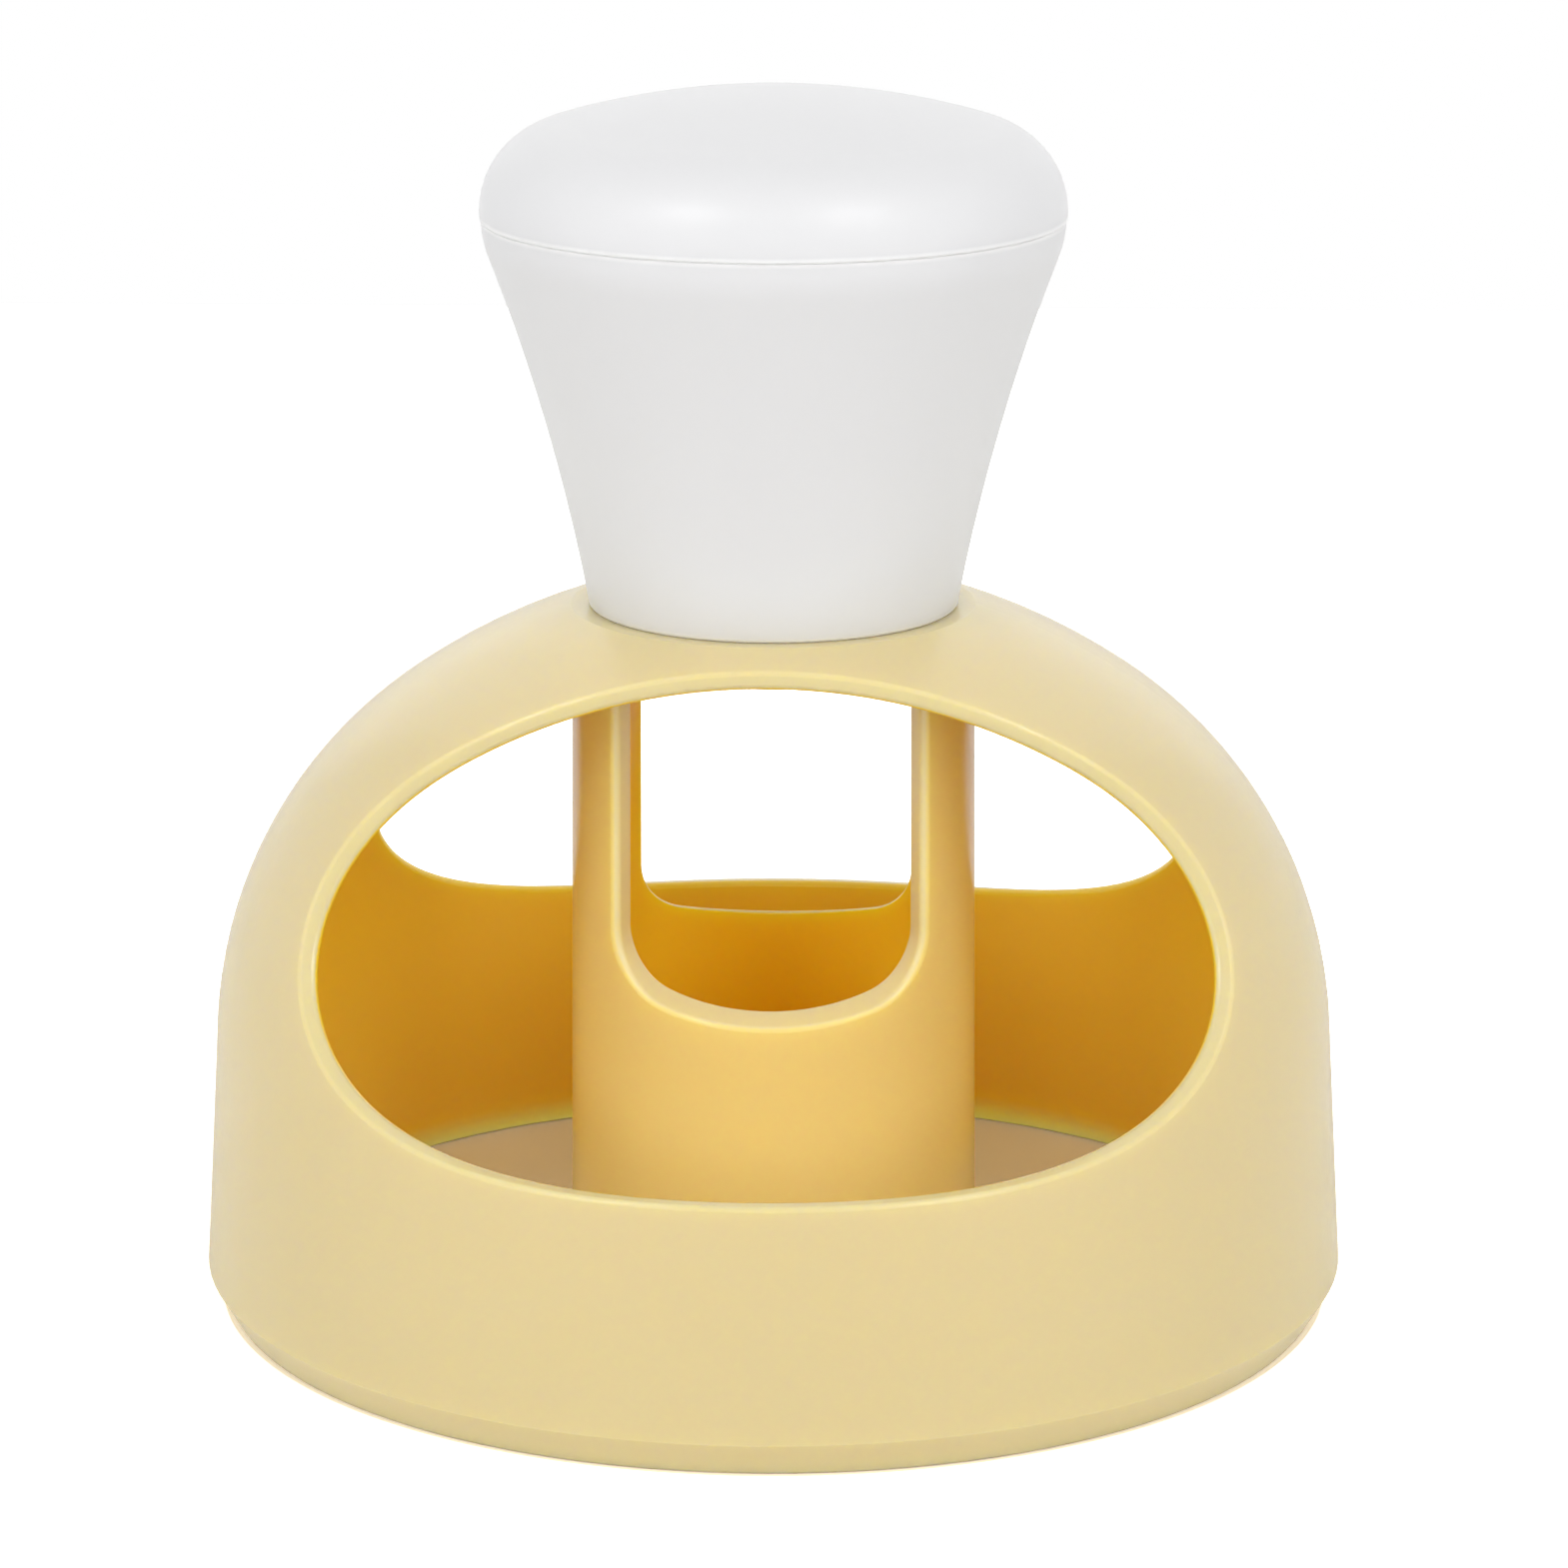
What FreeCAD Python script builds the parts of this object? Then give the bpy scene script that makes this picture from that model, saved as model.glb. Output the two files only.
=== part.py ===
"""Doughnut cutter: a ring cutter under an arched bridge, a windowed centre tube and a knob.

Millimetres, +Z up, origin at the centre of the cutting edges. The bridge spans X, and the openings
under it face -Y and +Y. The pieces of the knob are drawn in their own frames, at the face that they
stand on, and placed on the piece that carries them.
"""
import FreeCAD
import Part
import Sketcher

import os
from math import acos, atan2, cos, hypot, radians, sin, sqrt, tan

SIZES = {
    # Ring and dome of the cutter body
    "rim_radius": 40.0,  # at the top of the cutting bevel
    "bevel_height": 2.4,
    "edge_land": 0.3,  # flat width left at a cutting edge
    "body_wall": 1.3,  # of the dome
    "foot_wall": 1.85,  # of the ring, at the level of its cutting edge
    "wall_draft": 3.5,  # degrees that the ring's wall leans in
    "shoulder_radius": 30.5,
    "shoulder_sweep": 55.0,  # degrees above level where the shoulder arc meets the crown arc
    "crown_height": 51.1,  # of the whole dome, before the knob's seat is cut
    "seat_drop": 2.2,
    "crown_plate": 2.1,  # thickness of the bridge under the knob's seat
    # Openings under the bridge
    "bridge_width": 33.5,
    "opening_sill": 18.2,
    "opening_radius": 22.4,
    "opening_fillet": 0.35,
    "opening_inner_fillet": 0.4,
    # Centre tube
    "tube_foot_radius": 14.3,
    "tube_top_radius": 13.9,
    "tube_wall": 1.9,
    "tube_plate": 1.3,  # thickness of the plate that joins the tube's two legs
    "plate_flats": 17.0,  # across the plate's front and back
    "pad_margin": 0.6,  # by which the pad under the crown is wider than the tube
    # Windows of the centre tube, measured on the plane that touches the tube at its widest
    "window_width": 25.3,
    "window_sill": 22.3,
    "window_corner": 5.7,
    "window_draft": 24.0,  # degrees by which a window narrows inwards
    "window_fillet": 0.45,
    "window_inner_fillet": 0.2,
    # Keyed spigot that lines up tube, bridge and knob
    "spigot_radius": 5.0,
    "spigot_flats": 8.0,
    "spigot_reach": 2.4,  # above the knob's seat
    "spigot_end_gap": 0.2,
    "key_clearance": 0.15,
    # Knob body
    "knob_foot_radius": 12.7,
    "knob_top_radius": 19.85,
    "knob_height": 26.8,
    "flare_radius": 139.0,
    "lip_radius": 6.7,
    "knob_wall": 2.2,
    "knob_web": 2.4,  # thickness of the floor over the spigot's socket
    "knob_foot_fillet": 0.3,
    "knob_rim": 2.95,  # width of the rim that the cap stands on
    # Knob cap and its snap skirt
    "cap_overhang": 0.1,
    "cap_height": 8.6,
    "cap_edge_radius": 6.1,
    "cap_crown_radius": 54.0,
    "cap_wall": 2.2,
    "skirt_wall": 1.6,
    "skirt_length": 4.0,
    "skirt_end_gap": 0.8,
    "bead_height": 0.3,
    "bead_width": 1.2,
    "cap_clearance": 0.15,
    "seam_fillet": 0.1,
    # Self-tapping screw, its thread drawn as a plain pin of the mean thread diameter
    "screw_radius": 1.45,
    "screw_length": 8.5,
    "screw_tip": 1.6,
    "head_radius": 3.5,
    "head_height": 2.4,
    "head_side": 1.3,
    "recess_width": 1.0,
    "recess_span": 3.8,
    "recess_depth": 1.3,
    "screw_hole_clearance": 0.4,
    "pilot_clearance": 0.05,
    "pilot_spare": 0.6,  # depth left under the screw's tip
    "boss_radius": 4.0,
    "boss_end": 1.2,  # thickness that closes the pilot hole
}

# Places and sizes that several pieces share, as expressions of the sizes
SEAT_HEIGHT = "sizes.crown_height - sizes.seat_drop"
CROWN_UNDERSIDE = f"{SEAT_HEIGHT} - sizes.crown_plate"
PLATE_UNDERSIDE = f"{CROWN_UNDERSIDE} - sizes.tube_plate"
PAD_RADIUS = "sizes.tube_top_radius + sizes.pad_margin"
RING_FOOT = "sizes.rim_radius + sizes.bevel_height * tan(sizes.wall_draft)"
INNER_EDGE = f"{RING_FOOT} - sizes.foot_wall / cos(sizes.wall_draft)"
SKIN_EDGE = f"{RING_FOOT} - sizes.body_wall / cos(sizes.wall_draft)"
BORE_FOOT = "sizes.tube_foot_radius - sizes.tube_wall"
BORE_TOP = "sizes.tube_top_radius - sizes.tube_wall"
TUBE_WIDEST = "max(sizes.tube_foot_radius; sizes.tube_top_radius)"
WINDOW_DEPTH = f"0.7 * {TUBE_WIDEST}"
WINDOW_HEAD = f"{CROWN_UNDERSIDE} + sizes.window_corner"
PLATE_RADIUS = "sizes.tube_top_radius - sizes.tube_wall / 2"
KEY_HOLE_RADIUS = "sizes.spigot_radius + sizes.key_clearance"
KEY_HOLE_HALF = "sizes.spigot_flats / 2 + sizes.key_clearance"
SOCKET_DEPTH = "sizes.spigot_reach + sizes.spigot_end_gap"
FLOOR_TOP = f"{SOCKET_DEPTH} + sizes.knob_web"
PILOT_DEPTH = "sizes.screw_length + sizes.pilot_spare - sizes.spigot_end_gap - sizes.knob_web"
BOSS_UNDERSIDE = f"{SEAT_HEIGHT} + sizes.spigot_reach - ({PILOT_DEPTH}) - sizes.boss_end"
SKIRT_BORE = "sizes.knob_top_radius - sizes.knob_rim"
SKIRT_RADIUS = f"{SKIRT_BORE} - sizes.cap_clearance"
CAP_RADIUS = "sizes.knob_top_radius + sizes.cap_overhang"

TOLERANCE = 0.01
UPWARD = FreeCAD.Vector(0, 0, 1)


def make_sheet(doc):
    """Write the driving sizes to the sheet that every sketch and feature reads."""
    sheet = doc.addObject("Spreadsheet::Sheet", "sizes")
    for row, (name, value) in enumerate(SIZES.items(), start=1):
        sheet.set(f"A{row}", name)
        sheet.set(f"B{row}", str(value))
        sheet.setAlias(f"B{row}", name)
    doc.recompute()


def value_of(item, expression):
    """Return the plain number that an expression of the sizes gives."""
    result = item.evalExpression(expression)
    return float(getattr(result, "Value", result))


def origin_feature(body, role):
    """Return the plane or axis of a body's origin that has this role."""
    return next(item for item in body.Origin.OriginFeatures if item.Role == role)


def point_between(first, second, share):
    """Return the point at a share of the way from one point to another."""
    return (first[0] + (second[0] - first[0]) * share, first[1] + (second[1] - first[1]) * share)


def point_at(centre, radius, angle):
    """Return the point at a radius and an angle, in radians, from a centre."""
    return (centre[0] + radius * cos(angle), centre[1] + radius * sin(angle))


class Outline:
    """A closed sketch outline: named lines and arcs that follow one another, and their sizes."""

    def __init__(self, body, name, role, lift=None):
        """Open a sketch on an origin plane, moved along the plane's normal by an expression."""
        self.sketch = body.newObject("Sketcher::SketchObject", name)
        self.sketch.AttachmentSupport = [(origin_feature(body, role), "")]
        self.sketch.MapMode = "FlatFace"
        if lift:
            self.sketch.setExpression("AttachmentOffset.Base.z", lift)
        self.pieces = {}
        self.point = None

    def value(self, expression):
        """Return what an expression of the sizes gives now."""
        return value_of(self.sketch, expression)

    def add(self, name, curve, start=1, end=2, construction=False):
        """Add a curve under a name, with the numbers of its start and end points."""
        self.pieces[name] = (self.sketch.addGeometry(curve, construction), start, end)

    def start(self, x, y):
        """Put the pen down at a point of the sketch."""
        self.point = FreeCAD.Vector(x, y, 0)

    def line(self, name, x, y):
        """Draw a straight line to a point."""
        end = FreeCAD.Vector(x, y, 0)
        self.add(name, Part.LineSegment(self.point, end))
        self.point = end

    def arc(self, name, centre, x, y):
        """Draw an arc of under a half circle about a centre to a point."""
        middle = FreeCAD.Vector(*centre, 0)
        end = FreeCAD.Vector(x, y, 0)
        first = self.point - middle
        last = end - middle
        circle = Part.Circle(middle, UPWARD, first.Length)
        first_angle = atan2(first.y, first.x)
        last_angle = atan2(last.y, last.x)
        if first.cross(last).z > 0:
            self.add(name, Part.ArcOfCircle(circle, first_angle, last_angle))
        else:
            self.add(name, Part.ArcOfCircle(circle, last_angle, first_angle), start=2, end=1)
        self.point = end

    def rule(self, kind, *references):
        """Add a rule with no size to the sketch."""
        self.sketch.addConstraint(Sketcher.Constraint(kind, *references))

    def close(self, smooth=()):
        """Join the pieces end to end, tangent at the end of each piece that smooth names."""
        names = list(self.pieces)
        for first, second in zip(names, names[1:] + names[:1]):
            kind = "Tangent" if first in smooth else "Coincident"
            self.rule(kind, *self.at(first, "end"), *self.at(second, "start"))

    def at(self, name, where):
        """Return the numbers of a piece and of its start, end or centre."""
        index, start, end = self.pieces[name]
        return index, {"start": start, "end": end, "centre": 3}[where]

    def level(self, *names):
        """Keep lines along the sketch's first axis."""
        for name in names:
            self.rule("Horizontal", self.pieces[name][0])

    def upright(self, *names):
        """Keep lines along the sketch's second axis."""
        for name in names:
            self.rule("Vertical", self.pieces[name][0])

    def pin(self, name, where):
        """Hold a point of a piece on the sketch's origin."""
        self.rule("Coincident", *self.at(name, where), -1, 1)

    def on_axis(self, name, where):
        """Hold a point of a piece on the sketch's second axis."""
        self.rule("PointOnObject", *self.at(name, where), -2)

    def bind(self, kind, expression, *references):
        """Add a size whose value follows an expression of the sizes."""
        value = self.value(expression)
        if kind == "Angle":
            value = radians(value)
        index = self.sketch.addConstraint(Sketcher.Constraint(kind, *references, value))
        name = f"size_{index}"
        self.sketch.renameConstraint(index, name)
        self.sketch.setExpression(f"Constraints.{name}", expression)

    def across(self, name, where, expression):
        """Set a point's distance from the origin along the sketch's first axis."""
        self.bind("DistanceX", expression, -1, 1, *self.at(name, where))

    def up(self, name, where, expression):
        """Set a point's distance from the origin along the sketch's second axis."""
        self.bind("DistanceY", expression, -1, 1, *self.at(name, where))

    def radius(self, name, expression):
        """Set an arc's radius."""
        self.bind("Radius", expression, self.pieces[name][0])

    def slope(self, name, expression):
        """Set a line's angle from the sketch's first axis, in degrees."""
        self.bind("Angle", expression, self.pieces[name][0])


def new_body(doc, label, height=None):
    """Start a piece of the cutter, placed at a height given by an expression."""
    body = doc.addObject("PartDesign::Body", label)
    body.Label = label
    if height:
        body.setExpression("Placement.Base.z", height)
    return body


def add_feature(body, kind, name, **settings):
    """Add a feature to a body, set its properties and make it the body's latest."""
    item = body.newObject(f"PartDesign::{kind}", name)
    for key, value in settings.items():
        setattr(item, key, value)
    body.Tip = item
    return item


def turn(body, kind, name, outline):
    """Turn an outline once round the upright axis, to add or cut away a round form."""
    sketch = outline.sketch
    return add_feature(body, kind, name, Profile=sketch, ReferenceAxis=(sketch, ["V_Axis"]), Angle=360)


def extrude(body, kind, name, outline, length, upward=False, draft=None):
    """Pad or cut an outline to a length, upwards or downwards, with an optional draft."""
    against = upward if kind == "Pocket" else not upward
    item = add_feature(body, kind, name, Profile=outline.sketch, Type="Length", Reversed=against)
    item.setExpression("Length", length)
    if draft:
        item.setExpression("TaperAngle", draft)
    return item


def cut_through(body, name, outline):
    """Cut an outline's shape through the whole body, both ways from its plane."""
    return add_feature(body, "Pocket", name, Profile=outline.sketch, Type="ThroughAll", SideType="Symmetric")


def mirror_front_to_back(body, name, feature):
    """Repeat a feature on the other side of the plane between front and back."""
    plane = (origin_feature(body, "XZ_Plane"), [""])
    return add_feature(body, "Mirrored", name, Originals=[feature], MirrorPlane=plane)


def round_edges(body, name, feature, wanted, radius):
    """Round each edge of a feature whose middle point passes a test."""
    body.Document.recompute()
    names = []
    for number, edge in enumerate(feature.Shape.Edges, start=1):
        middle = edge.valueAt((edge.FirstParameter + edge.LastParameter) / 2)
        if wanted(middle, edge):
            names.append(f"Edge{number}")
    if not names:
        raise RuntimeError(f"{name}: no edge to round")
    fillet = add_feature(body, "Fillet", name, Base=(feature, names))
    fillet.setExpression("Radius", radius)
    return fillet


def round_circle(body, name, feature, at_radius, at_height, radius):
    """Round the circular edge that lies at a radius and a height."""
    circle_radius = value_of(feature, at_radius)
    circle_height = value_of(feature, at_height)

    def is_circle(point, edge):
        radial = hypot(point.x, point.y) - circle_radius
        return abs(radial) < TOLERANCE and abs(point.z - circle_height) < TOLERANCE

    return round_edges(body, name, feature, is_circle, radius)


def draw_keyed_round(body, name, radius, half_flats, lift=None):
    """Draw a circle with two flats, the shape of the spigot and of the holes that it passes."""
    outline = Outline(body, name, "XY_Plane", lift)
    flat = outline.value(half_flats)
    corner = sqrt(outline.value(radius) ** 2 - flat ** 2)
    outline.start(corner, -flat)
    outline.arc("right", (0, 0), corner, flat)
    outline.line("back", -corner, flat)
    outline.arc("left", (0, 0), -corner, -flat)
    outline.line("front", corner, -flat)
    outline.close()
    outline.level("back", "front")
    outline.pin("right", "centre")
    outline.pin("left", "centre")
    outline.radius("right", radius)
    outline.radius("left", radius)
    outline.up("back", "start", half_flats)
    outline.up("front", "start", f"-({half_flats})")
    return outline


def draw_circle(body, name, radius, lift=None):
    """Draw a circle about the upright axis."""
    outline = Outline(body, name, "XY_Plane", lift)
    outline.add("circle", Part.Circle(FreeCAD.Vector(), UPWARD, outline.value(radius)))
    outline.pin("circle", "centre")
    outline.radius("circle", radius)
    return outline


def dome_arcs():
    """Return the centres of the dome's shoulder and crown arcs, and the crown's radius.

    The shoulder arc is tangent to the leaning wall, and the crown arc, centred on the axis, is
    tangent to the shoulder where its sweep ends and rises to the crown's height.
    """
    draft = radians(SIZES["wall_draft"])
    sweep = radians(SIZES["shoulder_sweep"])
    shoulder = SIZES["shoulder_radius"]
    foot_x = SIZES["rim_radius"] - shoulder * cos(draft)
    foot_y = SIZES["bevel_height"] - shoulder * sin(draft)
    gain = 1 / cos(sweep) - tan(sweep)
    rise = SIZES["crown_height"] - shoulder - foot_y - foot_x * gain
    along = rise / (cos(draft) - gain * sin(draft))
    shoulder_centre = (foot_x - along * sin(draft), foot_y + along * cos(draft))
    crown_radius = shoulder + shoulder_centre[0] / cos(sweep)
    return shoulder_centre, (0.0, SIZES["crown_height"] - crown_radius), crown_radius


def cavity_draft():
    """Return the angle, in radians, at which the hollow's wall leans in to meet its shoulder arc."""
    shoulder_centre = dome_arcs()[0]
    draft = radians(SIZES["wall_draft"])
    foot = SIZES["rim_radius"] + SIZES["bevel_height"] * tan(draft) - SIZES["foot_wall"] / cos(draft)
    across = foot - shoulder_centre[0]
    reach = SIZES["shoulder_radius"] - SIZES["body_wall"]
    return acos(reach / hypot(across, shoulder_centre[1])) - atan2(shoulder_centre[1], across)


def draw_dome_side(outline, inset, draft):
    """Draw the dome's wall and shoulder, drawn in by an inset, and return its crown's arc."""
    shoulder_centre, crown_centre, crown_radius = dome_arcs()
    reach = SIZES["shoulder_radius"] - inset
    shoulder_start = point_at(shoulder_centre, reach, draft)
    shoulder_end = point_at(shoulder_centre, reach, radians(SIZES["shoulder_sweep"]))
    outline.line("wall", *shoulder_start)
    outline.arc("shoulder", shoulder_centre, *shoulder_end)
    return crown_centre, crown_radius - inset


def bind_dome_side(outline, inset):
    """Size the dome's shoulder and crown, drawn in by an expression, with two guide lines."""
    shoulder_centre, crown_centre, crown_radius = dome_arcs()
    top = outline.value(f"sizes.crown_height - {inset}")
    low = FreeCAD.Vector(*crown_centre, 0)
    outline.add("spine", Part.LineSegment(low, FreeCAD.Vector(0, top, 0)), construction=True)
    outline.add("rib", Part.LineSegment(low, FreeCAD.Vector(*shoulder_centre, 0)), construction=True)
    outline.rule("Coincident", *outline.at("spine", "start"), *outline.at("crown", "centre"))
    outline.rule("Coincident", *outline.at("rib", "start"), *outline.at("crown", "centre"))
    outline.rule("Coincident", *outline.at("rib", "end"), *outline.at("shoulder", "centre"))
    outline.rule("PointOnObject", *outline.at("spine", "end"), outline.pieces["crown"][0])
    outline.on_axis("spine", "start")
    outline.on_axis("spine", "end")
    outline.radius("shoulder", f"sizes.shoulder_radius - {inset}")
    outline.slope("rib", "sizes.shoulder_sweep")
    outline.up("spine", "end", f"sizes.crown_height - {inset}")


def bind_skin(outline):
    """Centre the hollow's shoulder on the dome's with a guide line, inside the ring's outer wall."""
    reach = SIZES["shoulder_radius"] - SIZES["body_wall"]
    end = point_at(dome_arcs()[0], reach, radians(SIZES["wall_draft"]))
    start = FreeCAD.Vector(outline.value(SKIN_EDGE), 0, 0)
    outline.add("skin", Part.LineSegment(start, FreeCAD.Vector(*end, 0)), construction=True)
    outline.rule("Tangent", *outline.at("skin", "end"), outline.pieces["shoulder"][0])
    outline.across("skin", "start", SKIN_EDGE)
    outline.up("skin", "start", "0")
    outline.slope("skin", "90 + sizes.wall_draft")


def draw_dome(body):
    """Draw half the dome's outside, from the cutting edge to the knob's seat."""
    outline = Outline(body, "dome_outline", "XZ_Plane")
    edge = f"{INNER_EDGE} + sizes.edge_land"
    seat = outline.value(SEAT_HEIGHT)
    outline.start(0, 0)
    outline.line("base", outline.value(edge), 0)
    outline.line("bevel", SIZES["rim_radius"], SIZES["bevel_height"])
    crown_centre, crown_radius = draw_dome_side(outline, 0, radians(SIZES["wall_draft"]))
    outline.arc("crown", crown_centre, sqrt(crown_radius ** 2 - (seat - crown_centre[1]) ** 2), seat)
    outline.line("seat", 0, seat)
    outline.line("axis", 0, 0)
    outline.close(smooth=("wall", "shoulder"))
    outline.pin("base", "start")
    outline.level("base", "seat")
    outline.upright("axis")
    outline.across("base", "end", edge)
    outline.across("bevel", "end", "sizes.rim_radius")
    outline.up("bevel", "end", "sizes.bevel_height")
    outline.slope("wall", "90 + sizes.wall_draft")
    bind_dome_side(outline, "0")
    outline.up("seat", "start", SEAT_HEIGHT)
    return outline


def draw_cavity(body):
    """Draw half the dome's hollow, up to the pad that the centre tube seats on."""
    outline = Outline(body, "cavity_outline", "XZ_Plane")
    pad = outline.value(PAD_RADIUS)
    underside = outline.value(CROWN_UNDERSIDE)
    outline.start(0, 0)
    outline.line("mouth", outline.value(INNER_EDGE), 0)
    crown_centre, crown_radius = draw_dome_side(outline, SIZES["body_wall"], cavity_draft())
    outline.arc("crown", crown_centre, pad, crown_centre[1] + sqrt(crown_radius ** 2 - pad ** 2))
    outline.line("pad_side", pad, underside)
    outline.line("pad", 0, underside)
    outline.line("axis", 0, 0)
    outline.close(smooth=("wall", "shoulder"))
    outline.pin("mouth", "start")
    outline.level("mouth", "pad")
    outline.upright("pad_side", "axis")
    outline.across("mouth", "end", INNER_EDGE)
    bind_dome_side(outline, "sizes.body_wall")
    bind_skin(outline)
    outline.across("pad", "start", PAD_RADIUS)
    outline.up("pad", "start", CROWN_UNDERSIDE)
    return outline


def draw_opening(body):
    """Draw the opening behind the bridge, seen along X: an upright face that curves into a sill."""
    outline = Outline(body, "opening_outline", "YZ_Plane")
    far = "sizes.bridge_width / 2 + sizes.opening_radius + sizes.rim_radius"
    high = "sizes.opening_sill + sizes.opening_radius + sizes.crown_height"
    face = SIZES["bridge_width"] / 2
    sill = SIZES["opening_sill"]
    curve = SIZES["opening_radius"]
    outline.start(face, outline.value(high))
    outline.line("face", face, sill + curve)
    outline.arc("curve", (face + curve, sill + curve), face + curve, sill)
    outline.line("sill", outline.value(far), sill)
    outline.line("outside", outline.value(far), outline.value(high))
    outline.line("top", face, outline.value(high))
    outline.close(smooth=("face", "curve"))
    outline.upright("face", "outside")
    outline.level("sill", "top")
    outline.across("face", "start", "sizes.bridge_width / 2")
    outline.up("sill", "start", "sizes.opening_sill")
    outline.radius("curve", "sizes.opening_radius")
    outline.across("outside", "start", far)
    outline.up("top", "start", high)
    return outline


def is_on_opening(point):
    """Tell whether a point lies on the upright face, the curve or the sill of an opening."""
    curve = SIZES["opening_radius"]
    depth = abs(point.y) - SIZES["bridge_width"] / 2
    height = point.z - SIZES["opening_sill"]
    if depth < curve and height < curve:
        return abs(hypot(curve - depth, curve - height) - curve) < TOLERANCE
    return min(abs(depth), abs(height)) < TOLERANCE


def is_opening_rim(point, edge):
    """Tell whether an edge is where an opening meets the dome's outside."""
    return is_on_opening(point) and not isinstance(edge.Curve, Part.Line)


def is_hollow_rim(point, edge):
    """Tell whether an edge is where an opening meets the dome's hollow."""
    shoulder_centre, crown_centre, crown_radius = dome_arcs()
    draft = cavity_draft()
    radial = hypot(point.x, point.y)
    across = radial - shoulder_centre[0]
    rise = point.z - shoulder_centre[1]
    angle = atan2(rise, across)
    reach = SIZES["shoulder_radius"] - SIZES["body_wall"]
    if angle > radians(SIZES["shoulder_sweep"]):
        gap = hypot(radial, point.z - crown_centre[1]) - crown_radius + SIZES["body_wall"]
    elif angle > draft:
        gap = hypot(across, rise) - reach
    else:
        gap = across * cos(draft) + rise * sin(draft) - reach
    return is_on_opening(point) and abs(gap) < TOLERANCE


def make_cutter_body(doc):
    """Ring with a bevelled cutting edge, and an arched bridge over it that carries the knob."""
    body = new_body(doc, "cutter_body")
    turn(body, "Revolution", "dome", draw_dome(body))
    back_opening = cut_through(body, "back_opening", draw_opening(body))
    openings = mirror_front_to_back(body, "openings", back_opening)
    round_edges(body, "opening_rims", openings, is_opening_rim, "sizes.opening_fillet")
    cavity = turn(body, "Groove", "cavity", draw_cavity(body))
    round_edges(body, "inner_rims", cavity, is_hollow_rim, "sizes.opening_inner_fillet")
    key_hole = draw_keyed_round(body, "key_hole_outline", KEY_HOLE_RADIUS, KEY_HOLE_HALF)
    cut_through(body, "key_hole", key_hole)
    return body


def draw_tube(body):
    """Draw half the centre tube's outside, from its cutting edge to its flat top."""
    outline = Outline(body, "tube_outline", "XZ_Plane")
    edge = f"{BORE_FOOT} + sizes.edge_land"
    top = outline.value(CROWN_UNDERSIDE)
    outline.start(0, 0)
    outline.line("base", outline.value(edge), 0)
    outline.line("bevel", SIZES["tube_foot_radius"], SIZES["bevel_height"])
    outline.line("wall", SIZES["tube_top_radius"], top)
    outline.line("top", 0, top)
    outline.line("axis", 0, 0)
    outline.close()
    outline.pin("base", "start")
    outline.level("base", "top")
    outline.upright("axis")
    outline.across("base", "end", edge)
    outline.across("bevel", "end", "sizes.tube_foot_radius")
    outline.up("bevel", "end", "sizes.bevel_height")
    outline.across("wall", "end", "sizes.tube_top_radius")
    outline.up("wall", "end", CROWN_UNDERSIDE)
    return outline


def draw_bore(body):
    """Draw half the tube's bore, round the screw boss that hangs from its top plate."""
    outline = Outline(body, "bore_outline", "XZ_Plane")
    plate = outline.value(PLATE_UNDERSIDE)
    boss = outline.value(BOSS_UNDERSIDE)
    outline.start(0, 0)
    outline.line("mouth", outline.value(BORE_FOOT), 0)
    outline.line("wall", outline.value(BORE_TOP), plate)
    outline.line("plate", SIZES["boss_radius"], plate)
    outline.line("boss_side", SIZES["boss_radius"], boss)
    outline.line("boss_end", 0, boss)
    outline.line("axis", 0, 0)
    outline.close()
    outline.pin("mouth", "start")
    outline.level("mouth", "plate", "boss_end")
    outline.upright("boss_side", "axis")
    outline.across("mouth", "end", BORE_FOOT)
    outline.across("wall", "end", BORE_TOP)
    outline.up("wall", "end", PLATE_UNDERSIDE)
    outline.across("boss_side", "end", "sizes.boss_radius")
    outline.up("boss_side", "end", BOSS_UNDERSIDE)
    return outline


def draw_window(body):
    """Draw a tube window on the plane that touches the tube, rounded below and open at the tube's top."""
    outline = Outline(body, "window_outline", "XZ_Plane", TUBE_WIDEST)
    half = SIZES["window_width"] / 2
    corner = SIZES["window_corner"]
    sill = SIZES["window_sill"]
    head = outline.value(WINDOW_HEAD)
    outline.start(half, head)
    outline.line("head", -half, head)
    outline.line("left", -half, sill + corner)
    outline.arc("left_corner", (corner - half, sill + corner), corner - half, sill)
    outline.line("sill", half - corner, sill)
    outline.arc("right_corner", (half - corner, sill + corner), half, sill + corner)
    outline.line("right", half, head)
    outline.close(smooth=("left", "left_corner", "sill", "right_corner"))
    outline.level("head", "sill")
    outline.upright("left", "right")
    outline.across("right", "end", "sizes.window_width / 2")
    outline.across("left", "start", "-sizes.window_width / 2")
    outline.up("head", "start", WINDOW_HEAD)
    outline.up("sill", "start", "sizes.window_sill")
    outline.radius("left_corner", "sizes.window_corner")
    outline.radius("right_corner", "sizes.window_corner")
    return outline


def window_edge_test(foot, top):
    """Return a test for a window's edges on the tube's wall between two radii and their heights."""
    slope = (top[0] - foot[0]) / (top[1] - foot[1])

    def is_window_edge(point, edge):
        on_wall = abs(hypot(point.x, point.y) - foot[0] - (point.z - foot[1]) * slope) < TOLERANCE
        between = SIZES["window_sill"] - TOLERANCE < point.z < top[1] - TOLERANCE
        return on_wall and between and abs(point.y) > TOLERANCE

    return is_window_edge


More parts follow.
